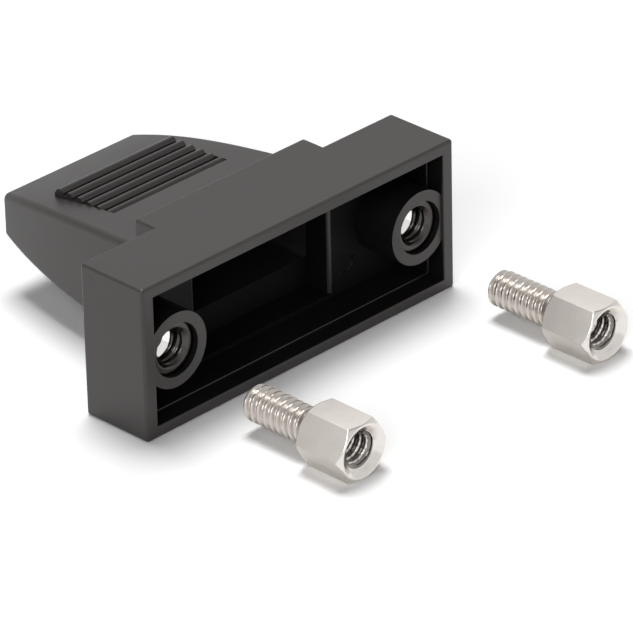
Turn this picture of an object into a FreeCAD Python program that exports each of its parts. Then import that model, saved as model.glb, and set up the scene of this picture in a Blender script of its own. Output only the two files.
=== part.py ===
import FreeCAD, Part
import math
import os
import Sketcher

# Hood for a nine-way D-subminiature connector, with its two jack screws.
# Frame: the origin is the centre of the rim that the connector's flange seats on.
# +X runs along the long side, +Y runs back towards the cable, +Z is up. Units are mm.
# The hood stands on the underside of its flange, and the screws lie on the same floor.

# Driving dimensions

SIZES = [
    ("flange_length", 31.75, "outer length of the flange"),
    ("flange_height", 12.3, "outer height of the flange"),
    ("flange_depth", 6.3, "depth of the flange from rim to ear back"),
    ("flange_edge_radius", 0.25, "rounding of the flange's outer edges"),
    ("rim_end_wall", 1.08, "rim width at the two short ends"),
    ("rim_wall", 0.95, "rim width along the two long sides"),
    ("rebate_depth", 1.5, "depth of the seat for the connector's flange"),
    ("step_edge_radius", 0.08, "rounding of the edges inside the open front"),
    ("tray_wall", 1.12, "wall above and below the tray behind the seat"),
    ("tray_end_wall", 1.28, "wall at the two ends of that tray"),
    ("ear_back_wall", 2.15, "thickness of the ear's back"),
    ("collar_width", 17.3, "width of the raised collar behind the ears"),
    ("collar_reach", 2.0, "how far the collar stands behind the ears"),
    ("collar_wall", 1.8, "thickness of the collar's back"),
    ("collar_side_wall", 1.45, "wall above and below the space in the collar"),
    ("collar_edge_radius", 0.25, "rounding of the collar's outer edges"),
    ("ear_corner_radius", 0.35, "rounding where an ear's floor meets the collar space"),
    ("body_reach", 24.5, "distance from the rim to the cable end"),
    ("body_shoulder_at", 12.0, "distance from the rim to the first body section"),
    ("body_waist_at", 18.0, "distance from the rim to the second body section"),
    ("body_root_width", 18.6, "body width where it leaves the ears"),
    ("body_root_height", 8.8, "body height where it leaves the ears"),
    ("body_shoulder_width", 17.5, "body width at the first section"),
    ("body_shoulder_height", 7.6, "body height at the first section"),
    ("body_waist_width", 16.1, "body width at the second section"),
    ("body_waist_height", 6.2, "body height at the second section"),
    ("body_end_width", 13.5, "body width at the cable end"),
    ("body_end_height", 3.5, "body height at the cable end"),
    ("body_edge_radius", 0.5, "rounding of the body's long edges"),
    ("body_end_radius", 0.35, "rounding of the edges round the cable end"),
    ("cavity_width", 13.7, "width of the wire space at the collar"),
    ("cavity_height", 4.8, "height of the wire space at the collar"),
    ("outlet_width", 11.6, "width of the flat cable outlet"),
    ("outlet_height", 1.8, "height of the flat cable outlet"),
    ("grip_width", 11.6, "width of the grip pad"),
    ("grip_front_at", 13.6, "distance from the rim to the first grip rib"),
    ("grip_gap", 0.1, "open groove in front of the first grip rib"),
    ("grip_level", 3.61, "height of the rib crests over the centre plane"),
    ("rib_pitch", 1.035, "spacing of the grip ribs"),
    ("rib_count", 6, "number of grip ribs on each face"),
    ("rib_radius", 0.4, "radius of a rib's round crest"),
    ("screw_pitch", 24.99, "spacing of the two screw axes"),
    ("boss_radius", 2.95, "outer radius of a screw boss"),
    ("boss_recess", 0.23, "how far a boss ends below the rim"),
    ("screw_way_radius", 1.6, "hole through the ear behind the insert"),
    ("insert_radius", 2.1, "outer radius of a threaded insert"),
    ("insert_recess", 0.4, "how far an insert sits below its boss face"),
    ("insert_length", 4.4, "length of a threaded insert"),
    ("insert_mouth_radius", 1.6, "radius of the insert's countersunk mouth"),
    ("thread_radius", 1.42, "outer radius of the screw thread"),
    ("thread_bore_radius", 1.13, "bore radius of the matching inner thread"),
    ("thread_pitch", 0.635, "rise of the thread in one turn"),
    ("groove_root_width", 0.09, "width of the screw thread's groove at its root"),
    ("groove_mouth_width", 0.5, "width of the screw thread's groove at its crest"),
    ("groove_overrun", 0.02, "how far the groove's section passes the crest"),
    ("pin_mark_radius", 0.9, "radius of a mould pin mark on an ear floor"),
    ("pin_mark_depth", 0.1, "depth of a mould pin mark"),
    ("pin_mark_offset", 8.5, "distance of a pin mark from the centre"),
    ("pin_mark_drop", 2.65, "how far a pin mark is below the screw axis"),
    ("hex_width", 4.4, "width of the jack screw's hexagon across flats"),
    ("hex_length", 4.5, "length of the jack screw's hexagon"),
    ("hex_face_radius", 2.14, "radius of the flat face inside the hexagon's chamfer"),
    ("hex_corner_cut", 0.3, "length of the round chamfer on the hexagon's corners"),
    ("neck_radius", 1.08, "radius of the jack screw's neck behind the hexagon"),
    ("neck_length", 0.52, "length of that neck"),
    ("screw_reach", 6.35, "distance from the hexagon to the thread's tip"),
    ("screw_tip_chamfer", 0.35, "chamfer at the thread's tip"),
    ("socket_mouth_radius", 2.05, "radius of the countersink in the hexagon"),
    ("socket_mouth_depth", 0.5, "depth at which that countersink meets the thread"),
    ("socket_depth", 3.9, "depth of the threaded socket in the hexagon"),
    ("screw_shift", 3.43, "how far a loose screw lies to the right of its boss"),
    ("screw_front_at", 14.8, "how far in front of the rim the left loose screw starts"),
    ("screw_spacing", 24.16, "spacing of the two loose screws"),
    ("screw_stagger", 1.2, "how much further in front the right loose screw starts"),
]

SIZE = {alias: value for alias, value, note in SIZES}


def build_sheet(doc):
    """Spreadsheet with one row for each driving dimension."""
    sheet = doc.addObject("Spreadsheet::Sheet", "Sizes")
    for row, (alias, value, note) in enumerate(SIZES, start=1):
        sheet.set("A%d" % row, alias)
        sheet.set("B%d" % row, str(value))
        sheet.set("C%d" % row, note)
        sheet.setAlias("B%d" % row, alias)
    doc.recompute()
    return sheet


# Sketch helpers. A size is given as text in the sheet's terms, such as "Sizes.rim_wall * 2".

ORIGIN = (-1, 1)
START, END, CENTRE = range(1, 4)


def value_of(text):
    """Present value of a text size, used as the sketch's starting shape."""
    names = {"Sizes.%s" % alias: value for alias, value in SIZE.items()}
    for name in sorted(names, key=len, reverse=True):
        text = text.replace(name, repr(names[name]))
    return FreeCAD.Units.Quantity(text).Value


def new_body(doc, label):
    """Empty PartDesign body that becomes one node."""
    body = doc.addObject("PartDesign::Body", label)
    body.Label = label
    return body


def new_sketch(body, name, plane, back="0"):
    """Sketch on an origin plane of its body, moved back along +Y by a text size on XZ_Plane."""
    sketch = body.newObject("Sketcher::SketchObject", name)
    support = [item for item in body.Origin.OriginFeatures if item.Role == plane][0]
    sketch.AttachmentSupport = [(support, "")]
    sketch.MapMode = "FlatFace"
    if back != "0":
        sketch.setExpression("AttachmentOffset.Base.z", "-(%s)" % back)
    return sketch


def set_size(sketch, constraint, text):
    """Add a dimension to a sketch and bind it to the sheet."""
    index = sketch.addConstraint(constraint)
    sketch.setExpression("Constraints[%d]" % index, text)


def add_rectangle(sketch, width, height):
    """Sharp rectangle centred on the sketch's origin."""
    half_width = value_of(width) / 2
    half_height = value_of(height) / 2
    corners = [(-1, -1), (1, -1), (1, 1), (-1, 1)]
    points = [FreeCAD.Vector(sx * half_width, sz * half_height, 0) for sx, sz in corners]
    first = sketch.GeometryCount
    for index in range(4):
        sketch.addGeometry(Part.LineSegment(points[index], points[(index + 1) % 4]), False)
    for index in range(4):
        following = first + (index + 1) % 4
        sketch.addConstraint(Sketcher.Constraint("Coincident", first + index, END, following, START))
    for side in (0, 2):
        sketch.addConstraint(Sketcher.Constraint("Horizontal", first + side))
    for side in (1, 3):
        sketch.addConstraint(Sketcher.Constraint("Vertical", first + side))
    sketch.addConstraint(
        Sketcher.Constraint("Symmetric", first, START, first + 2, START, *ORIGIN))
    set_size(sketch, Sketcher.Constraint("DistanceX", first, START, first, END, 2 * half_width), width)
    set_size(
        sketch, Sketcher.Constraint("DistanceY", first + 1, START, first + 1, END, 2 * half_height),
        height)


def add_rounded_rectangle(sketch, width, height, radius):
    """Rectangle with round corners, centred on the sketch's origin."""
    w = value_of(width) / 2
    h = value_of(height) / 2
    r = value_of(radius)
    flats = [((r - w, -h), (w - r, -h)), ((w, r - h), (w, h - r)),
             ((w - r, h), (r - w, h)), ((-w, h - r), (-w, r - h))]
    centres = [(w - r, r - h), (w - r, h - r), (r - w, h - r), (r - w, r - h)]
    quarter = math.pi / 2
    first = sketch.GeometryCount
    for side in range(4):
        (x0, z0), (x1, z1) = flats[side]
        line = Part.LineSegment(FreeCAD.Vector(x0, z0, 0), FreeCAD.Vector(x1, z1, 0))
        sketch.addGeometry(line, False)
        centre_x, centre_z = centres[side]
        circle = Part.Circle(FreeCAD.Vector(centre_x, centre_z, 0), FreeCAD.Vector(0, 0, 1), r)
        start = (side - 1) * quarter
        sketch.addGeometry(Part.ArcOfCircle(circle, start, start + quarter), False)
    for side in range(4):
        line = first + 2 * side
        arc = line + 1
        following = first + (2 * side + 2) % 8
        sketch.addConstraint(Sketcher.Constraint("Tangent", line, END, arc, START))
        sketch.addConstraint(Sketcher.Constraint("Tangent", arc, END, following, START))
    for side in (0, 2):
        sketch.addConstraint(Sketcher.Constraint("Horizontal", first + 2 * side))
    for side in (1, 3):
        sketch.addConstraint(Sketcher.Constraint("Vertical", first + 2 * side))
    for side in (1, 2, 3):
        sketch.addConstraint(Sketcher.Constraint("Equal", first + 1, first + 2 * side + 1))
    sketch.addConstraint(
        Sketcher.Constraint("Symmetric", first + 1, CENTRE, first + 5, CENTRE, *ORIGIN))
    set_size(sketch, Sketcher.Constraint("Radius", first + 1, r), radius)
    set_size(sketch, Sketcher.Constraint("DistanceX", first + 6, START, first + 2, START, 2 * w), width)
    set_size(sketch, Sketcher.Constraint("DistanceY", first, START, first + 4, START, 2 * h), height)


def add_circle(sketch, radius, across="0", up="0"):
    """Circle whose centre is given as text sizes in the sketch's own directions."""
    x = value_of(across)
    z = value_of(up)
    r = value_of(radius)
    index = sketch.addGeometry(
        Part.Circle(FreeCAD.Vector(x, z, 0), FreeCAD.Vector(0, 0, 1), r), False)
    set_size(sketch, Sketcher.Constraint("Radius", index, r), radius)
    if across == "0" and up == "0":
        sketch.addConstraint(Sketcher.Constraint("Coincident", index, CENTRE, *ORIGIN))
        return
    set_size(sketch, Sketcher.Constraint("DistanceX", *ORIGIN, index, CENTRE, x), across)
    if up == "0":
        sketch.addConstraint(Sketcher.Constraint("PointOnObject", index, CENTRE, -1))
        return
    set_size(sketch, Sketcher.Constraint("DistanceY", *ORIGIN, index, CENTRE, z), up)


def add_outline(sketch, corners):
    """Closed outline of straight lines; each corner is a pair of text sizes."""
    points = [FreeCAD.Vector(value_of(x), value_of(z), 0) for x, z in corners]
    count = len(points)
    first = sketch.GeometryCount
    for index in range(count):
        sketch.addGeometry(Part.LineSegment(points[index], points[(index + 1) % count]), False)
    for index in range(count):
        following = first + (index + 1) % count
        sketch.addConstraint(Sketcher.Constraint("Coincident", first + index, END, following, START))
    for index, (across, up) in enumerate(corners):
        line = first + index
        if across == "0":
            sketch.addConstraint(Sketcher.Constraint("PointOnObject", line, START, -2))
        else:
            distance = Sketcher.Constraint("DistanceX", *ORIGIN, line, START, points[index].x)
            set_size(sketch, distance, across)
        if up == "0":
            sketch.addConstraint(Sketcher.Constraint("PointOnObject", line, START, -1))
        else:
            distance = Sketcher.Constraint("DistanceY", *ORIGIN, line, START, points[index].y)
            set_size(sketch, distance, up)


# Feature helpers. Sketches on XZ_Plane face -Y, so a reversed pad runs back along +Y.

def pad_back(body, name, sketch, length):
    """Pad that runs from its sketch towards +Y."""
    pad = body.newObject("PartDesign::Pad", name)
    pad.Profile = sketch
    pad.Reversed = True
    pad.setExpression("Length", length)
    sketch.Visibility = False
    return pad


def pad_both_ways(body, name, sketch, length):
    """Pad that is centred on its sketch."""
    pad = body.newObject("PartDesign::Pad", name)
    pad.Profile = sketch
    pad.Midplane = True
    pad.setExpression("Length", length)
    return pad


def cut_both_ways(body, name, sketch, length):
    """Pocket that is centred on its sketch."""
    pocket = body.newObject("PartDesign::Pocket", name)
    pocket.Profile = sketch
    pocket.Midplane = True
    pocket.setExpression("Length", length)
    return pocket


def cut_back(body, name, sketch, length):
    """Pocket that runs from its sketch towards +Y and has to remove material."""
    body.Document.recompute()
    before = body.Shape.Volume
    pocket = body.newObject("PartDesign::Pocket", name)
    pocket.Profile = sketch
    pocket.setExpression("Length", length)
    body.Document.recompute()
    if body.Shape.Volume >= before:
        raise ValueError("%s cuts nothing" % name)
    return pocket


def turn(body, name, kind, sketch):
    """Full turn of a sketch about the sketch's own vertical axis, which is the part's Y."""
    feature = body.newObject("PartDesign::" + kind, name)
    feature.Profile = sketch
    feature.ReferenceAxis = (sketch, ["V_Axis"])
    feature.Angle = 360
    return feature


def round_edges(body, name, feature, chosen, radius):
    """Fillet of the edges of a feature for which chosen(edge) is true."""
    body.Document.recompute()
    edges = feature.Shape.Edges
    names = ["Edge%d" % (index + 1) for index, edge in enumerate(edges) if chosen(edge)]
    fillet = body.newObject("PartDesign::Fillet", name)
    fillet.Base = (feature, names)
    fillet.setExpression("Radius", radius)
    return fillet


def behind(distance):
    """Test for edges that lie wholly in the plane at this distance behind the rim."""
    def test(edge):
        box = edge.BoundBox
        return abs(box.YMin - distance) < TOUCH and abs(box.YMax - distance) < TOUCH
    return test


TOUCH = 1e-4


# The moulded hood

COLLAR_END = "Sizes.flange_depth + Sizes.collar_reach"
COLLAR_FLOOR = "Sizes.flange_depth + Sizes.collar_reach - Sizes.collar_wall"
EAR_FLOOR = "Sizes.flange_depth - Sizes.ear_back_wall"
TRAY_HEIGHT = "Sizes.flange_height - 2 * Sizes.tray_wall"
INSERT_FACE = "Sizes.boss_recess + Sizes.insert_recess"


def build_flange(body):
    """Flange block with the raised collar behind it."""
    outline = new_sketch(body, "flange_outline", "XZ_Plane")
    add_rectangle(outline, "Sizes.flange_length", "Sizes.flange_height")
    block = pad_back(body, "flange_block", outline, "Sizes.flange_depth")
    round_edges(body, "flange_rounding", block, lambda edge: True, "Sizes.flange_edge_radius")

    collar_outline = new_sketch(body, "collar_outline", "XZ_Plane", "Sizes.flange_depth / 2")
    add_rectangle(collar_outline, "Sizes.collar_width", "Sizes.flange_height")
    collar = pad_back(
        body, "collar", collar_outline, "Sizes.flange_depth / 2 + Sizes.collar_reach")
    collar_end = behind(value_of(COLLAR_END))
    side = SIZE["collar_width"] / 2

    def collar_edge(edge):
        box = edge.BoundBox
        on_side = abs(abs(box.Center.x) - side) < TOUCH and box.XLength < TOUCH
        runs_back = on_side and box.ZLength < TOUCH and box.YMax > value_of(COLLAR_END) - TOUCH
        return collar_end(edge) or runs_back

    round_edges(body, "collar_rounding", collar, collar_edge, "Sizes.collar_edge_radius")


def body_section(body, name, back, width, height):
    """One rounded cross-section of the tapered body."""
    section = new_sketch(body, name, "XZ_Plane", back)
    add_rounded_rectangle(section, width, height, "Sizes.body_edge_radius")
    return section


def build_tapered_body(body):
    """Body that tapers back to the cable end."""
    root = body_section(
        body, "body_root", "Sizes.flange_depth", "Sizes.body_root_width", "Sizes.body_root_height")
    shoulder = body_section(
        body, "body_shoulder", "Sizes.body_shoulder_at",
        "Sizes.body_shoulder_width", "Sizes.body_shoulder_height")
    waist = body_section(
        body, "body_waist", "Sizes.body_waist_at",
        "Sizes.body_waist_width", "Sizes.body_waist_height")
    end = body_section(
        body, "body_end", "Sizes.body_reach", "Sizes.body_end_width", "Sizes.body_end_height")
    loft = body.newObject("PartDesign::AdditiveLoft", "tapered_body")
    loft.Profile = root
    loft.Sections = [shoulder, waist, end]
    round_edges(
        body, "cable_end_rounding", loft, behind(SIZE["body_reach"]), "Sizes.body_end_radius")


def build_grips(body):
    """Ribbed grip pads in shallow recesses on the top and the underside."""
    front = "Sizes.grip_front_at"
    recess_front = "Sizes.grip_front_at - Sizes.grip_gap"
    rear = "Sizes.grip_front_at + Sizes.rib_count * Sizes.rib_pitch"
    rib_middle = "Sizes.grip_level - Sizes.rib_radius"
    pad_root = "Sizes.body_end_height / 2"
    for face, sign in (("upper", ""), ("under", "-")):
        top = "%s(%s)" % (sign, rib_middle)
        root = "%s(%s)" % (sign, pad_root)
        above = "%s(Sizes.body_shoulder_height)" % sign
        recess_profile = new_sketch(body, face + "_recess_profile", "YZ_Plane")
        add_outline(recess_profile, [
            (recess_front, top), (rear, top), (rear, above), (recess_front, above)])
        cut_both_ways(body, face + "_recess", recess_profile, "Sizes.grip_width")
        profile = new_sketch(body, face + "_pad_profile", "YZ_Plane")
        add_outline(profile, [(front, root), (rear, root), (rear, top), (front, top)])
        pad_both_ways(body, face + "_pad", profile, "Sizes.grip_width")
        crest = new_sketch(body, face + "_rib_profile", "YZ_Plane")
        add_circle(crest, "Sizes.rib_radius", front + " + Sizes.rib_pitch / 2", top)
        rib = pad_both_ways(body, face + "_rib", crest, "Sizes.grip_width")
        row = body.newObject("PartDesign::LinearPattern", face + "_ribs")
        row.Originals = [rib]
        row.Direction = (crest, ["H_Axis"])
        row.setExpression("Length", "(Sizes.rib_count - 1) * Sizes.rib_pitch")
        row.setExpression("Occurrences", "Sizes.rib_count")
        body.Tip = row


def build_hollow(body):
    """Seat, tray, collar space and tapered wire space down to the cable outlet."""
    seat = new_sketch(body, "seat_outline", "XZ_Plane")
    add_rectangle(
        seat, "Sizes.flange_length - 2 * Sizes.rim_end_wall",
        "Sizes.flange_height - 2 * Sizes.rim_wall")
    cut_back(body, "connector_seat", seat, "Sizes.rebate_depth")
    tray = new_sketch(body, "tray_outline", "XZ_Plane")
    add_rectangle(tray, "Sizes.flange_length - 2 * Sizes.tray_end_wall", TRAY_HEIGHT)
    cut_back(body, "tray", tray, EAR_FLOOR)
    space = new_sketch(body, "collar_space_outline", "XZ_Plane")
    add_rectangle(
        space, "Sizes.cavity_width", "Sizes.flange_height - 2 * Sizes.collar_side_wall")
    cut_back(body, "collar_space", space, COLLAR_FLOOR)

    mouth = new_sketch(body, "wire_space_mouth", "XZ_Plane", COLLAR_FLOOR)
    add_rounded_rectangle(
        mouth, "Sizes.cavity_width", "Sizes.cavity_height", "Sizes.body_edge_radius")
    outlet = new_sketch(body, "outlet_outline", "XZ_Plane", "Sizes.body_reach")
    add_rounded_rectangle(
        outlet, "Sizes.outlet_width", "Sizes.outlet_height", "Sizes.body_edge_radius")
    wire_space = body.newObject("PartDesign::SubtractiveLoft", "wire_space")
    wire_space.Profile = mouth
    wire_space.Sections = [outlet]
    round_inner_edges(body, wire_space)


def round_inner_edges(body, feature):
    """Soften the ears' inner corners, the rim's inner edge and the step behind the seat."""
    ear_floor = value_of(EAR_FLOOR)
    space_side = SIZE["cavity_width"] / 2
    seat_side = SIZE["flange_length"] / 2 - SIZE["rim_end_wall"]
    tray_side = SIZE["flange_length"] / 2 - SIZE["tray_end_wall"]

    def ear_corner(edge):
        box = edge.BoundBox
        upright = box.XLength < TOUCH and box.YLength < TOUCH
        at_space = abs(abs(box.Center.x) - space_side) < TOUCH
        return upright and at_space and abs(box.YMin - ear_floor) < TOUCH

    def step_edge(edge):
        box = edge.BoundBox
        reach = max(-box.XMin, box.XMax)
        at_rim = behind(0)(edge) and reach < seat_side + TOUCH
        at_tray = behind(SIZE["rebate_depth"])(edge) and reach < tray_side + TOUCH
        return at_rim or at_tray

    corners = round_edges(body, "ear_corners", feature, ear_corner, "Sizes.ear_corner_radius")
    round_edges(body, "step_edges", corners, step_edge, "Sizes.step_edge_radius")


def screw_circles(sketch, radius):
    """A circle on each of the two screw axes."""
    add_circle(sketch, radius, "-Sizes.screw_pitch / 2")
    add_circle(sketch, radius, "Sizes.screw_pitch / 2")


def build_bosses(body):
    """Two screw bosses that grow from the ears' backs, bored for the inserts."""
    marks = new_sketch(body, "pin_mark_outline", "XZ_Plane", EAR_FLOOR)
    for side in ("-", ""):
        add_circle(
            marks, "Sizes.pin_mark_radius", side + "Sizes.pin_mark_offset", "-Sizes.pin_mark_drop")
    cut_back(body, "pin_marks", marks, "Sizes.pin_mark_depth")
    outline = new_sketch(body, "boss_outline", "XZ_Plane", "Sizes.boss_recess")
    screw_circles(outline, "Sizes.boss_radius")
    pad_back(
        body, "bosses", outline,
        "Sizes.flange_depth - Sizes.ear_back_wall / 2 - Sizes.boss_recess")
    pocket = new_sketch(body, "insert_pocket_outline", "XZ_Plane", "Sizes.boss_recess")
    screw_circles(pocket, "Sizes.insert_radius")
    cut_back(
        body, "insert_pockets", pocket, "Sizes.insert_recess + Sizes.insert_length")
    way = new_sketch(body, "screw_way_outline", "XZ_Plane", "Sizes.boss_recess")
    screw_circles(way, "Sizes.screw_way_radius")
    cut_back(body, "screw_ways", way, "Sizes.flange_depth")


def build_hood_shell(doc):
    """The one-piece moulded hood."""
    body = new_body(doc, "hood_shell")
    build_flange(body)
    build_tapered_body(body)
    build_grips(body)
    build_hollow(body)
    build_bosses(body)
    return body


# Threaded inserts

def build_insert(doc, label, side):
    """Metal sleeve pressed into a boss, its inner thread shown as a plain bore."""
    body = new_body(doc, label)
    section = new_sketch(body, label + "_section", "XY_Plane")
    mouth_depth = "(Sizes.insert_mouth_radius - Sizes.thread_bore_radius)"
    add_outline(section, [
        ("Sizes.insert_mouth_radius", "0"),
        ("Sizes.insert_radius", "0"),
        ("Sizes.insert_radius", "Sizes.insert_length"),
        ("Sizes.thread_bore_radius", "Sizes.insert_length"),
        ("Sizes.thread_bore_radius", mouth_depth)])
    turn(body, label + "_sleeve", "Revolution", section)
    body.setExpression("Placement.Base.x", "%d * Sizes.screw_pitch / 2" % side)
    body.setExpression("Placement.Base.y", INSERT_FACE)
    return body


# Jack screws

def cut_thread(body, label):
    """Right-hand thread groove from the neck to past the stud's tip."""
    groove = new_sketch(body, label + "_groove_section", "XY_Plane")
    start = "Sizes.hex_length + Sizes.neck_length / 2"
    outside = "Sizes.thread_radius + Sizes.groove_overrun"
    add_outline(groove, [
        ("Sizes.thread_bore_radius", start + " - Sizes.groove_root_width / 2"),
        (outside, start + " - Sizes.groove_mouth_width / 2"),
        (outside, start + " + Sizes.groove_mouth_width / 2"),
        ("Sizes.thread_bore_radius", start + " + Sizes.groove_root_width / 2")])
    thread = body.newObject("PartDesign::SubtractiveHelix", label + "_thread")
    thread.Profile = groove
    thread.ReferenceAxis = (groove, ["V_Axis"])
    thread.Mode = "pitch-height-angle"
    thread.setExpression("Pitch", "Sizes.thread_pitch")
    thread.setExpression("Height", "Sizes.screw_reach")


def build_jack_screw(doc, label, to_right):
    """Hexagon pillar with a threaded socket in front and a threaded stud behind.

    to_right is false for the left screw and true for the right one, and counts as 0 or 1.
    """
    body = new_body(doc, label)
    flats = new_sketch(body, label + "_flats", "XZ_Plane")
    half = "Sizes.hex_width / 2"
    corner = "Sizes.hex_width / sqrt(3)"
    add_outline(flats, [
        (corner, "0"), (corner + " / 2", half), ("-" + corner + " / 2", half),
        ("-" + corner, "0"), ("-" + corner + " / 2", "-" + half), (corner + " / 2", "-" + half)])
    pad_back(body, label + "_hexagon", flats, "Sizes.hex_length")

    stud_outline = new_sketch(body, label + "_stud_outline", "XY_Plane")
    stem = "Sizes.hex_length / 2"
    neck_end = "Sizes.hex_length + Sizes.neck_length"
    tip = "Sizes.hex_length + Sizes.screw_reach"
    add_outline(stud_outline, [
        ("0", stem), ("Sizes.neck_radius", stem),
        ("Sizes.neck_radius", neck_end), ("Sizes.thread_radius", neck_end),
        ("Sizes.thread_radius", tip + " - Sizes.screw_tip_chamfer"),
        ("Sizes.thread_radius - Sizes.screw_tip_chamfer", tip), ("0", tip)])
    turn(body, label + "_stud", "Revolution", stud_outline)
    cut_thread(body, label)

    corners = new_sketch(body, label + "_corner_cut", "XY_Plane")
    past = "2 * %s - Sizes.hex_face_radius" % corner
    add_outline(corners, [
        ("Sizes.hex_face_radius", "0"), (past, "0"), (past, "2 * Sizes.hex_corner_cut")])
    add_outline(corners, [
        ("Sizes.hex_face_radius", "Sizes.hex_length"), (past, "Sizes.hex_length"),
        (past, "Sizes.hex_length - 2 * Sizes.hex_corner_cut")])
    turn(body, label + "_chamfers", "Groove", corners)

    socket = new_sketch(body, label + "_socket_section", "XY_Plane")
    thread_start = "Sizes.socket_mouth_depth + Sizes.thread_radius - Sizes.thread_bore_radius"
    add_outline(socket, [
        ("0", "0"), ("Sizes.socket_mouth_radius", "0"),
        ("Sizes.thread_radius", "Sizes.socket_mouth_depth"), ("Sizes.thread_bore_radius", thread_start),
        ("Sizes.thread_bore_radius", "Sizes.socket_depth"), ("0", "Sizes.socket_depth")])
    turn(body, label + "_socket", "Groove", socket)

    body.setExpression(
        "Placement.Base.x",
        "Sizes.screw_shift - Sizes.screw_pitch / 2 + %d * Sizes.screw_spacing" % to_right)
    body.setExpression(
        "Placement.Base.y", "-Sizes.screw_front_at - %d * Sizes.screw_stagger" % to_right)
    body.setExpression("Placement.Base.z", "(Sizes.hex_width - Sizes.flange_height) / 2")
    return body


# Assembly, checks and export

LEFT, RIGHT = -1, 1


def check_document(doc, bodies):
    """Stop with a plain message if any feature failed or any solid is not sound."""
    for item in doc.Objects:
        if "Invalid" in item.State or "Error" in item.State:
            raise ValueError("%s did not build: %s" % (item.Name, item.State))
    for body in bodies:
        shape = body.Shape
        if shape.isNull() or not shape.isValid() or len(shape.Solids) != 1:
            raise ValueError("%s is not one sound solid" % body.Label)


def main():
    doc = FreeCAD.newDocument("connector_hood")
    build_sheet(doc)
    bodies = [build_hood_shell(doc)]
    for side, name in ((LEFT, "left"), (RIGHT, "right")):
        bodies.append(build_insert(doc, "threaded_insert_" + name, side))
        bodies.append(build_jack_screw(doc, "jack_screw_" + name, side == RIGHT))
    doc.recompute()
    check_document(doc, bodies)
    os.makedirs("parts", exist_ok=True)
    for body in bodies:
        body.Shape.exportStep("parts/%s.step" % body.Label)
        box = body.Shape.BoundBox
        print("%s volume %.1f box %.2f %.2f %.2f to %.2f %.2f %.2f" % (
            body.Label, body.Shape.Volume, box.XMin, box.YMin, box.ZMin, box.XMax, box.YMax, box.ZMax))


main()
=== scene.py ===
import math

import bmesh
import bpy
from mathutils import Matrix, Vector


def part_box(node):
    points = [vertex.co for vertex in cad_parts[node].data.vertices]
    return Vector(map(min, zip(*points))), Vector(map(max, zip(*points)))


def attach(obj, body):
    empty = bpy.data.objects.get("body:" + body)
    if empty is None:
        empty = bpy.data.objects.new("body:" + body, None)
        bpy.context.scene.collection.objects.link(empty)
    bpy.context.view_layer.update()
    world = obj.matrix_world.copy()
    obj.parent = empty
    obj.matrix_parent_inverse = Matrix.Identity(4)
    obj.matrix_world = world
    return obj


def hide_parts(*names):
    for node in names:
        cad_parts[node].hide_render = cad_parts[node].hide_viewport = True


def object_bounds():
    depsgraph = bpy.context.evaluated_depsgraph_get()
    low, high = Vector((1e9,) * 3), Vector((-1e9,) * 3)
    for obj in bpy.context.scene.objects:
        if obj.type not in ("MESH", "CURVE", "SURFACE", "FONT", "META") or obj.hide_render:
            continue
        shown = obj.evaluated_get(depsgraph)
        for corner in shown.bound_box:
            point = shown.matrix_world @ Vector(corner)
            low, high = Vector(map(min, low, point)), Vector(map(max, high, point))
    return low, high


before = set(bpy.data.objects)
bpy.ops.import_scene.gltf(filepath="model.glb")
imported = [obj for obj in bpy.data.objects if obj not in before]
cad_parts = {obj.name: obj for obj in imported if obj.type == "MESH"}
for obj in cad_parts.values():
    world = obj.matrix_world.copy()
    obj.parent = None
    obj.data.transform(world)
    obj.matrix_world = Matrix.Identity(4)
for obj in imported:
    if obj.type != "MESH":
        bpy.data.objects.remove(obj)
cad_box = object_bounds()

MM = 0.001
FULL_TURN = 2 * math.pi
BODY = "root"


# Camera, fitted to a picture of 633 by 633 pixels

IMAGE_SIZE = 633
AZIMUTH = math.radians(-44.86)
ELEVATION = math.radians(28.71)
ROLL = math.radians(-1.37)
FOCAL_PIXELS = 5500
DISTANCE = 399 * MM
TARGET = Vector((0, 4, 0.85)) * MM
TARGET_PIXEL = (263.5, 260.8)
SENSOR_WIDTH = 36
CLIP_START = 10 * MM
CLIP_END = 10


def add_camera():
    """Camera whose picture holds the target point at its own pixel."""
    back = Vector((
        math.sin(AZIMUTH) * math.cos(ELEVATION),
        -math.cos(AZIMUTH) * math.cos(ELEVATION),
        math.sin(ELEVATION)))
    level = Vector((math.cos(AZIMUTH), math.sin(AZIMUTH), 0))
    upright = back.cross(level)
    right = level * math.cos(ROLL) + upright * math.sin(ROLL)
    up = upright * math.cos(ROLL) - level * math.sin(ROLL)
    pixel = DISTANCE / FOCAL_PIXELS
    across = (TARGET_PIXEL[0] - IMAGE_SIZE / 2) * pixel
    down = (TARGET_PIXEL[1] - IMAGE_SIZE / 2) * pixel
    place = TARGET + back * DISTANCE - right * across + up * down
    turn = Matrix((right, up, back)).transposed().to_4x4()
    camera = bpy.data.objects.new("camera", bpy.data.cameras.new("camera"))
    camera.matrix_world = Matrix.Translation(place) @ turn
    camera.data.sensor_width = SENSOR_WIDTH
    camera.data.lens = SENSOR_WIDTH * FOCAL_PIXELS / IMAGE_SIZE
    camera.data.clip_start = CLIP_START
    camera.data.clip_end = CLIP_END
    bpy.context.scene.collection.objects.link(camera)
    bpy.context.scene.camera = camera


# Node helpers

def new_material(name):
    """Empty node material and its tree."""
    material = bpy.data.materials.new(name)
    material.use_nodes = True
    tree = material.node_tree
    tree.nodes.clear()
    return material, tree


def add_node(tree, kind, **values):
    """Node of this kind with the named inputs set."""
    node = tree.nodes.new("ShaderNode" + kind)
    for name, value in values.items():
        node.inputs[name.replace("_", " ")].default_value = value
    return node


def link(tree, source, output, target, socket):
    """Join one node's output to another node's input."""
    tree.links.new(source.outputs[output], target.inputs[socket])


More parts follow.
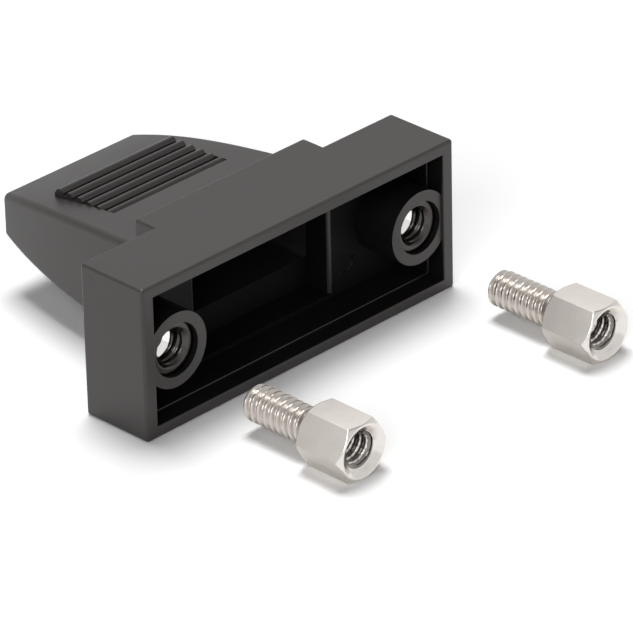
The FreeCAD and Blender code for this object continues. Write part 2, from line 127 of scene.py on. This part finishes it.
def noise(tree, place, scale, detail=3.0):
    """Noise in the object's own space; scale is in waves for each millimetre."""
    node = add_node(tree, "TexNoise", Scale=scale / MM, Detail=detail, Roughness=0.6)
    link(tree, place, "Object", node, "Vector")
    return node


def mapped(tree, source, output, low, high, to_low, to_high):
    """Source range mapped to another range and clamped."""
    node = add_node(
        tree, "MapRange", From_Min=low, From_Max=high, To_Min=to_low, To_Max=to_high)
    link(tree, source, output, node, "Value")
    return node


def mixed_colour(tree, factor, output, dark, light):
    """Colour between two, chosen by a factor."""
    node = add_node(tree, "Mix")
    node.data_type = "RGBA"
    node.inputs["A"].default_value = (*dark, 1)
    node.inputs["B"].default_value = (*light, 1)
    link(tree, factor, output, node, "Factor")
    return node


def larger(tree, first, second):
    """Larger of two values, each given as a node and the name of its output."""
    node = add_node(tree, "Math")
    node.operation = "MAXIMUM"
    for socket, (source, output) in enumerate((first, second)):
        link(tree, source, output, node, socket)
    return node


# Materials. Noise scales are in waves for each millimetre and depths in millimetres.

NOISE_BAND = (0.3, 0.7)

PLASTIC_CLOUD_SCALE = 0.25
PLASTIC_GRAIN_SCALE = 9.0
PLASTIC_GRAIN_STRENGTH = 0.25
PLASTIC_GRAIN_DEPTH = 0.01
PLASTIC_GLOSS_TINT = (1, 0.965, 0.945, 1)

NICKEL_CLOUD_SCALE = 0.9
NICKEL_POLISH_SCALE = 4.0
NICKEL_PIT_SCALE = 14.0
NICKEL_PIT_DEPTH = 0.006


def colour_by(tree, surface, cloud, dark, light):
    """Let a noise move the surface's colour between two colours."""
    colour = mixed_colour(tree, cloud, "Fac", dark, light)
    link(tree, colour, "Result", surface, "Base Color")


def roughen_by(tree, surface, wear, smooth, dull):
    """Let a noise move the surface's roughness between two values."""
    rough = mapped(tree, wear, "Fac", *NOISE_BAND, smooth, dull)
    link(tree, rough, "Result", surface, "Roughness")


def emboss_by(tree, surface, relief, strength, depth):
    """Let a noise raise fine bumps on the surface."""
    bump = add_node(tree, "Bump", Strength=strength, Distance=depth * MM)
    link(tree, relief, "Fac", bump, "Height")
    link(tree, bump, "Normal", surface, "Normal")


def output_surface(tree, surface):
    """Make this shader the material's surface."""
    link(tree, surface, "BSDF", add_node(tree, "OutputMaterial"), "Surface")


def plastic(name, dark, light, smooth, dull, gloss_index):
    """Moulded plastic with faint clouds and a fine spark-eroded grain."""
    material, tree = new_material(name)
    place = add_node(tree, "TexCoord")
    surface = add_node(
        tree, "BsdfPrincipled", IOR=gloss_index, Specular_Tint=PLASTIC_GLOSS_TINT)
    cloud = noise(tree, place, PLASTIC_CLOUD_SCALE)
    grain = noise(tree, place, PLASTIC_GRAIN_SCALE, detail=4.0)
    colour_by(tree, surface, cloud, dark, light)
    roughen_by(tree, surface, cloud, smooth, dull)
    emboss_by(tree, surface, grain, PLASTIC_GRAIN_STRENGTH, PLASTIC_GRAIN_DEPTH)
    output_surface(tree, surface)
    return material


def nickel(name, dark, light, smooth, dull, pitting=0.1):
    """Nickel plate with faint clouds and a fine uneven polish."""
    material, tree = new_material(name)
    place = add_node(tree, "TexCoord")
    surface = add_node(tree, "BsdfPrincipled", Metallic=1.0)
    cloud = noise(tree, place, NICKEL_CLOUD_SCALE)
    polish = noise(tree, place, NICKEL_POLISH_SCALE, detail=5.0)
    pits = noise(tree, place, NICKEL_PIT_SCALE, detail=4.0)
    colour_by(tree, surface, cloud, dark, light)
    roughen_by(tree, surface, polish, smooth, dull)
    emboss_by(tree, surface, pits, pitting, NICKEL_PIT_DEPTH)
    output_surface(tree, surface)
    return material


# Thread, in millimetres. ROOT_SHARE of each half pitch is the flat root, and the next
# FLANK_SHARE climbs to the crest, partly straight and partly rounded.

THREAD_PITCH = 0.635
THREAD_OUTER = 1.42
THREAD_INNER = 1.12
THREAD_START = 4.76
ROOT_SHARE = 0.12
FLANK_SHARE = 0.70
STRAIGHT_PART = 0.55
ROUNDED_PART = 0.45
RINGS_PER_PITCH = 16


def thread_radius(along, angle, inner=THREAD_INNER):
    """Radius of a right-hand thread with a rounded crest and root."""
    phase = ((along - THREAD_START) / THREAD_PITCH + angle / FULL_TURN + 0.5) % 1
    slope = abs(2 * phase - 1)
    flank = min(1, max(0, (slope - ROOT_SHARE) / FLANK_SHARE))
    rounded = flank * flank * (3 - 2 * flank)
    return inner + (THREAD_OUTER - inner) * (STRAIGHT_PART * flank + ROUNDED_PART * rounded)


def thread_rings(length):
    """Number of rings that draw a thread of this length."""
    return int(length / THREAD_PITCH * RINGS_PER_PITCH)


# Turned metal pieces. Each is a skin of rings round its own axis, which runs along +Y.

SHARP_ANGLE = math.radians(38)
WELD_DISTANCE = 0.0005 * MM
EDGE_ROUND = 0.05
LONGEST_ROUND = 0.4


def steps(first, last, count):
    """Evenly spaced values from first to last, both included."""
    return [first + (last - first) * index / (count - 1) for index in range(count)]


def soften(corners):
    """Profile whose inner corners are each replaced by a short round of three points."""
    result = [corners[0]]
    for before, corner, after in zip(corners, corners[1:], corners[2:]):
        before, corner, after = Vector(before), Vector(corner), Vector(after)
        into = before - corner
        out = after - corner
        start = corner + into * min(LONGEST_ROUND, EDGE_ROUND / into.length)
        end = corner + out * min(LONGEST_ROUND, EDGE_ROUND / out.length)
        middle = start * 0.25 + corner * 0.5 + end * 0.25
        result += [tuple(start), tuple(middle), tuple(end)]
    result.append(corners[-1])
    return result


def skin(name, angles, profile_at, centre, finishes, choose, is_ring):
    """Mesh object swept round its axis; profile_at(angle) gives (radius, along) points.

    choose(radius, along) gives the number of the finish at a place. is_ring joins the
    profile's last point to its first, and otherwise both ends lie on the axis.
    """
    points = []
    columns = [profile_at(angle) for angle in angles]
    length = len(columns[0])
    for angle, column in zip(angles, columns):
        for radius, along in column:
            points.append(Vector((
                centre.x + radius * math.cos(angle) * MM,
                centre.y + along * MM,
                centre.z + radius * math.sin(angle) * MM)))
    faces = []
    count = len(angles)
    rows = length if is_ring else length - 1
    for column in range(count):
        following = (column + 1) % count
        for row in range(rows):
            above = (row + 1) % length
            faces.append((
                column * length + row, following * length + row,
                following * length + above, column * length + above))
    mesh = bpy.data.meshes.new(name)
    mesh.from_pydata(points, [], faces)
    if not is_ring:
        merge_poles(mesh)
    mesh.validate()
    for finish in finishes:
        mesh.materials.append(finish)
    for polygon in mesh.polygons:
        polygon.use_smooth = True
        place = (polygon.center - centre) / MM
        polygon.material_index = choose(math.hypot(place.x, place.z), place.y)
    mesh.set_sharp_from_angle(angle=SHARP_ANGLE)
    piece = bpy.data.objects.new(name, mesh)
    bpy.context.scene.collection.objects.link(piece)
    return piece


def merge_poles(mesh):
    """Weld the points that lie on the axis at the two ends of a swept skin."""
    work = bmesh.new()
    work.from_mesh(mesh)
    bmesh.ops.remove_doubles(work, verts=work.verts, dist=WELD_DISTANCE)
    bmesh.ops.recalc_face_normals(work, faces=work.faces)
    work.to_mesh(mesh)
    work.free()


def front_centre(node):
    """Middle of the front face of this node's box."""
    low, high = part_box(node)
    return Vector(((low.x + high.x) / 2, low.y, (low.z + high.z) / 2))


# Jack screw, in millimetres from the front of its hexagon

HEX_SIDES = 6
HEX_TURN = 360 // HEX_SIDES
HEX_WIDTH = 4.4
HEX_LENGTH = 4.5
HEX_FACE_RADIUS = 2.14
HEX_CORNER_RADIUS = HEX_WIDTH / 2 / math.cos(math.radians(HEX_TURN / 2))
HEX_CORNER_CUT = 0.3
HEX_CORNER_ROUND = 0.09
HEX_CORNER_OFFSETS = [0, 0.55, 1.1, 1.7]
HEX_FLAT_OFFSETS = steps(3, HEX_TURN - 3, 19)
SOCKET_MOUTH_RADIUS = 2.02
SOCKET_MOUTH_DEPTH = 0.5
SOCKET_MOUTH_MIDDLE = 0.3
SOCKET_DEPTH = 3.9
SOCKET_END_GAP = 0.05
DRILL_POINT_SLOPE = 0.35
LEAD_IN = 0.16
NECK_LENGTH = 0.52
NECK_RADIUS = 1.08
STUD_REACH = 6.35
STUD_TIP_CHAMFER = 0.35
STUD_STEP = 0.02
STUD_END_GAP = 0.01

# Socket crests, down to this depth, get the bright turned nickel as painted highlight.
CREST_DEPTH = 0.09
FLAT_MARGIN = 0.5
FACE_MARGIN = 0.1


def hexagon_angles():
    """Angles round a hexagon, close together at its corners."""
    before_corner = [HEX_TURN - offset for offset in reversed(HEX_CORNER_OFFSETS[1:])]
    offsets = HEX_CORNER_OFFSETS + HEX_FLAT_OFFSETS + before_corner
    return [
        math.radians(HEX_TURN * side + offset)
        for side in range(HEX_SIDES) for offset in offsets]


def hexagon_radius(angle):
    """Radius of the round-cornered hexagon at this angle; it has a corner at angle 0."""
    half = HEX_WIDTH / 2
    sixth = math.radians(HEX_TURN)
    off_corner = abs((angle + sixth / 2) % sixth - sixth / 2)
    reach = (half - HEX_CORNER_ROUND) / math.cos(sixth / 2)
    arc_end = math.atan2(
        HEX_CORNER_ROUND * math.sin(sixth / 2),
        reach + HEX_CORNER_ROUND * math.cos(sixth / 2))
    if off_corner < arc_end:
        across = reach * math.sin(off_corner)
        return reach * math.cos(off_corner) + math.sqrt(HEX_CORNER_ROUND ** 2 - across ** 2)
    return half / math.cos(sixth / 2 - off_corner)


def socket_wall(along, angle):
    """Radius inside the hexagon: a countersink, a short cone and then the thread."""
    if along < SOCKET_MOUTH_DEPTH:
        narrowing = THREAD_OUTER - SOCKET_MOUTH_RADIUS
        return SOCKET_MOUTH_RADIUS + narrowing * along / SOCKET_MOUTH_DEPTH
    depth = along - SOCKET_MOUTH_DEPTH
    cone = THREAD_OUTER - (THREAD_OUTER - THREAD_INNER) * depth / LEAD_IN
    return max(thread_radius(along, angle), cone)


def jack_screw_profile(angle):
    """Section from the bottom of the socket, round the hexagon, to the stud's tip."""
    side = hexagon_radius(angle)
    cut = HEX_CORNER_CUT * (side - HEX_FACE_RADIUS) / (HEX_CORNER_RADIUS - HEX_FACE_RADIUS)
    points = [
        (0, SOCKET_DEPTH + THREAD_INNER * DRILL_POINT_SLOPE), (THREAD_INNER, SOCKET_DEPTH)]
    rings = thread_rings(SOCKET_DEPTH - SOCKET_MOUTH_DEPTH)
    for along in steps(SOCKET_DEPTH - SOCKET_END_GAP, SOCKET_MOUTH_DEPTH, rings):
        points.append((socket_wall(along, angle), along))
    points += soften([
        (socket_wall(SOCKET_MOUTH_MIDDLE, angle), SOCKET_MOUTH_MIDDLE),
        (SOCKET_MOUTH_RADIUS, 0), (HEX_FACE_RADIUS, 0), (side, cut),
        (side, HEX_LENGTH - cut), (HEX_FACE_RADIUS, HEX_LENGTH), (NECK_RADIUS, HEX_LENGTH),
        (NECK_RADIUS, HEX_LENGTH + NECK_LENGTH)])
    tip = HEX_LENGTH + STUD_REACH
    tip_radius = THREAD_OUTER - STUD_TIP_CHAMFER
    start = HEX_LENGTH + NECK_LENGTH + STUD_STEP
    for along in steps(start, tip - STUD_END_GAP, thread_rings(tip - start)):
        points.append((min(thread_radius(along, angle), tip_radius + (tip - along)), along))
    points += [(tip_radius - STUD_STEP, tip), (0, tip)]
    return points


def jack_screw_finish(radius, along):
    """0 on flats, 1 on turned faces and on the socket's crests as painted highlight, 2 between
    those as painted shade, 3 on the stud.
    """
    if radius > HEX_FACE_RADIUS and FLAT_MARGIN < along < HEX_LENGTH - FLAT_MARGIN:
        return 0
    if along > HEX_LENGTH + FACE_MARGIN:
        return 3
    is_in_socket = SOCKET_MOUTH_DEPTH < along < HEX_LENGTH - FACE_MARGIN
    if is_in_socket and THREAD_INNER + CREST_DEPTH < radius < THREAD_OUTER:
        return 2
    return 1


def add_jack_screw(node, finishes):
    """Jack screw with cut threads in place of the plain solid of this node."""
    piece = skin(
        node + "_threaded", hexagon_angles(), jack_screw_profile, front_centre(node),
        finishes, jack_screw_finish, False)
    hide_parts(node)
    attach(piece, BODY)


# Threaded insert, in millimetres from its front face

INSERT_COLUMNS = 144
INSERT_MOUTH_RADIUS = 1.6
INSERT_MOUTH_CUT = 0.15
INSERT_FIT_RADIUS = 2.09
INSERT_THREAD_START = 0.2
INSERT_THREAD_LENGTH = 1.5
INSERT_THREAD_INNER = 1.24
INSERT_THREAD_RELIEF = 0.1
LEDGE_START = 1.66
LEDGE_END = 1.98
LEDGE_RADIUS = 0.9
LEDGE_BACK = 0.3


def insert_profile(length):
    """Function that gives the section of an insert of this length at an angle."""
    def profile(angle):
        points = soften([
            (INSERT_FIT_RADIUS, length), (INSERT_FIT_RADIUS, 0), (INSERT_MOUTH_RADIUS, 0),
            (INSERT_MOUTH_RADIUS - INSERT_MOUTH_CUT, INSERT_MOUTH_CUT)])
        rings = thread_rings(INSERT_THREAD_LENGTH)
        for along in steps(INSERT_THREAD_START, INSERT_THREAD_LENGTH, rings):
            groove = thread_radius(along, angle, inner=INSERT_THREAD_INNER)
            points.append((max(groove, INSERT_MOUTH_RADIUS - along), along))
        points += [
            (THREAD_OUTER, INSERT_THREAD_LENGTH + INSERT_THREAD_RELIEF),
            (THREAD_OUTER, LEDGE_START), (LEDGE_RADIUS, LEDGE_END),
            (THREAD_INNER, LEDGE_END + LEDGE_BACK), (THREAD_INNER, length)]
        return points
    return profile


def insert_finish(radius, along):
    """1 on the polished ledge deep in the bore, near white as a painted highlight, and 0
    elsewhere, dark as painted shade.
    """
    return int(LEDGE_START < along < LEDGE_END)


def add_insert(node, finishes):
    """Insert with a cut thread in place of the plain sleeve of this node."""
    low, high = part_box(node)
    angles = [FULL_TURN * index / INSERT_COLUMNS for index in range(INSERT_COLUMNS)]
    piece = skin(
        node + "_threaded", angles, insert_profile((high.y - low.y) / MM),
        front_centre(node), finishes, insert_finish, True)
    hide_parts(node)
    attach(piece, BODY)


# Hood shell: satin outside; in the recess, apart from its rounded edges, a near-black and
# duller copy of the plastic as painted shade; on the ribs, a glossier copy, a little darker
# as painted shade. Places are in millimetres in the part's frame; the last two values are the
# least share of a normal along one axis on a plain wall, and the most it points backward in
# the recess.

RECESS_HALF_WIDTH = 14.82
RECESS_HALF_HEIGHT = 5.22
RECESS_FRONT = 0.3
RECESS_BACK = 6.6
SCREW_AXIS = 12.495
BOSS_RADIUS = 3.0
GRIP_HALF_WIDTH = 5.82
GRIP_FRONT = 13.48
GRIP_BACK = 19.83
GRIP_LEVEL = 2.5
FACING = 0.97
BACKWARD = 0.3


def is_in_recess(polygon):
    """Whether a face of the shell lines the open front or the space behind it."""
    place = polygon.center / MM
    if abs(place.x) > RECESS_HALF_WIDTH or abs(place.z) > RECESS_HALF_HEIGHT:
        return False
    return RECESS_FRONT < place.y < RECESS_BACK and polygon.normal.y < BACKWARD


def is_rounded_edge(polygon):
    """Whether a face is part of a small round and not a wall or a boss."""
    place = polygon.center / MM
    off_axis = math.hypot(abs(place.x) - SCREW_AXIS, place.z)
    return off_axis > BOSS_RADIUS and max(abs(part) for part in polygon.normal) < FACING


def is_in_grip(polygon):
    """Whether a face belongs to the ribs on the body's top or underside."""
    place = polygon.center / MM
    return (abs(place.x) < GRIP_HALF_WIDTH and GRIP_FRONT < place.y < GRIP_BACK
            and abs(place.z) > GRIP_LEVEL)


def shell_finish(polygon):
    """0 outside, 1 in the recess as painted shade, 2 on the ribs, a little darker as painted
    shade.
    """
    if is_in_grip(polygon):
        return 2
    return int(is_in_recess(polygon) and not is_rounded_edge(polygon))


def finish_shell(shell, finishes):
    """Give the shell its finishes, face by face."""
    shell.data.materials.clear()
    for finish in finishes:
        shell.data.materials.append(finish)
    for polygon in shell.data.polygons:
        polygon.material_index = shell_finish(polygon)


# Floor, surroundings and light, in metres and watts

FLOOR_SIZE = 4.0
LIT_FLOOR = 0.8
SEEN_FLOOR = 1.06
WORLD_FILL = 0.08
SKY_BAND = (0.52, 0.85)
SKY_TOP = 0.35


def seen_directly(tree):
    """1 for rays that show the background, straight, in a reflection or through glass."""
    path = add_node(tree, "LightPath")
    either = larger(tree, (path, "Is Camera Ray"), (path, "Is Glossy Ray"))
    return larger(tree, (either, "Value"), (path, "Is Transmission Ray"))


def add_floor():
    """Pale floor that is white to the eye and keeps the shadows."""
    material, tree = new_material("pale_floor")
    surface = add_node(tree, "BsdfDiffuse")
    colour = mixed_colour(
        tree, seen_directly(tree), "Value", (LIT_FLOOR,) * 3, (SEEN_FLOOR,) * 3)
    link(tree, colour, "Result", surface, "Color")
    output_surface(tree, surface)
    half = FLOOR_SIZE / 2
    level = cad_box[0][2]
    mesh = bpy.data.meshes.new("floor")
    corners = [(-half, -half), (half, -half), (half, half), (-half, half)]
    mesh.from_pydata([(x, y, level) for x, y in corners], [], [(0, 1, 2, 3)])
    mesh.materials.append(material)
    floor = bpy.data.objects.new("floor", mesh)
    bpy.context.scene.collection.objects.link(floor)


def add_world():
    """White surroundings, greyer overhead, that give far less light than they show."""
    world = bpy.data.worlds.new("white_studio")
    world.use_nodes = True
    tree = world.node_tree
    tree.nodes.clear()
    background = add_node(tree, "Background")
    height = add_node(tree, "SeparateXYZ")
    link(tree, add_node(tree, "TexCoord"), "Generated", height, "Vector")
    seen_sky = mapped(tree, height, "Z", *SKY_BAND, 1, SKY_TOP)
    strength = mapped(tree, seen_directly(tree), "Value", 0, 1, WORLD_FILL, 1)
    link(tree, seen_sky, "Result", strength, "To Max")
    link(tree, strength, "Result", background, "Strength")
    link(tree, background, "Background", add_node(tree, "OutputWorld"), "Surface")
    bpy.context.scene.world = world


def add_lamp(name, place, size, power):
    """Square soft lamp that faces the origin."""
    lamp = bpy.data.lights.new(name, "AREA")
    lamp.size = size
    lamp.energy = power
    holder = bpy.data.objects.new(name, lamp)
    holder.location = place
    holder.rotation_euler = (-Vector(place)).to_track_quat("-Z", "Y").to_euler()
    bpy.context.scene.collection.objects.link(holder)


# The scene. A plastic has a dark and a light colour, two roughnesses and an index for its
# gloss; a nickel has two colours, two roughnesses and, on one, its own depth of pitting.

satin_black = plastic(
    "satin_black", (0.019, 0.0175, 0.017), (0.025, 0.023, 0.0225), 0.40, 0.45, 1.60)
# Near-black, duller copy of the shell's plastic for the recess: painted shade.
painted_shade_black = plastic(
    "painted_shade_black", (0.004, 0.004, 0.004), (0.006, 0.006, 0.006), 0.50, 0.58, 1.24)
# Ribs: glossier than the rest of the shell, and a little darker in colour as painted shade.
glossy_rib_painted_shade = plastic(
    "glossy_rib_painted_shade", (0.015, 0.014, 0.0136), (0.020, 0.0187, 0.0182), 0.25, 0.31, 1.56)
satin_nickel = nickel(
    "satin_nickel", (0.555, 0.523, 0.493), (0.625, 0.593, 0.56), 0.66, 0.74)
# Turned faces, and the socket's thread crests, where this bright nickel is a painted highlight.
turned_and_crest_highlight_nickel = nickel(
    "turned_and_crest_highlight_nickel", (0.74, 0.70, 0.66), (0.82, 0.78, 0.74), 0.16, 0.24)
# Dark nickel in the socket's thread valleys: painted shade.
shaded_nickel = nickel(
    "shaded_nickel", (0.20, 0.185, 0.17), (0.28, 0.26, 0.245), 0.18, 0.26)
threaded_nickel = nickel(
    "threaded_nickel", (0.54, 0.50, 0.46), (0.62, 0.58, 0.54), 0.30, 0.38)
# Insert metal, made dark as painted shade inside the bore.
insert_painted_shade_nickel = nickel(
    "insert_painted_shade_nickel", (0.065, 0.06, 0.057), (0.09, 0.083, 0.08), 0.17, 0.21, pitting=0.01)
# Near-white mirror copy of the insert metal for the ledge deep in the bore: a painted highlight
# that shows as the bright crescent.
polished_painted_highlight_nickel = nickel(
    "polished_painted_highlight_nickel", (0.90, 0.88, 0.86), (0.95, 0.93, 0.91), 0.05, 0.09)

add_camera()
finish_shell(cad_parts["hood_shell"], (satin_black, painted_shade_black, glossy_rib_painted_shade))
for side in ("left", "right"):
    add_jack_screw("jack_screw_" + side, (
        satin_nickel, turned_and_crest_highlight_nickel, shaded_nickel, threaded_nickel))
    add_insert("threaded_insert_" + side, (insert_painted_shade_nickel, polished_painted_highlight_nickel))
add_floor()
add_world()
add_lamp("overhead", (0.14, 0.25, 1.15), 0.50, 11.3)
add_lamp("left_fill", (-0.90, -0.50, 0.62), 0.6, 5.6)
bpy.context.scene.view_settings.view_transform = "Standard"

bpy.context.view_layer.update()
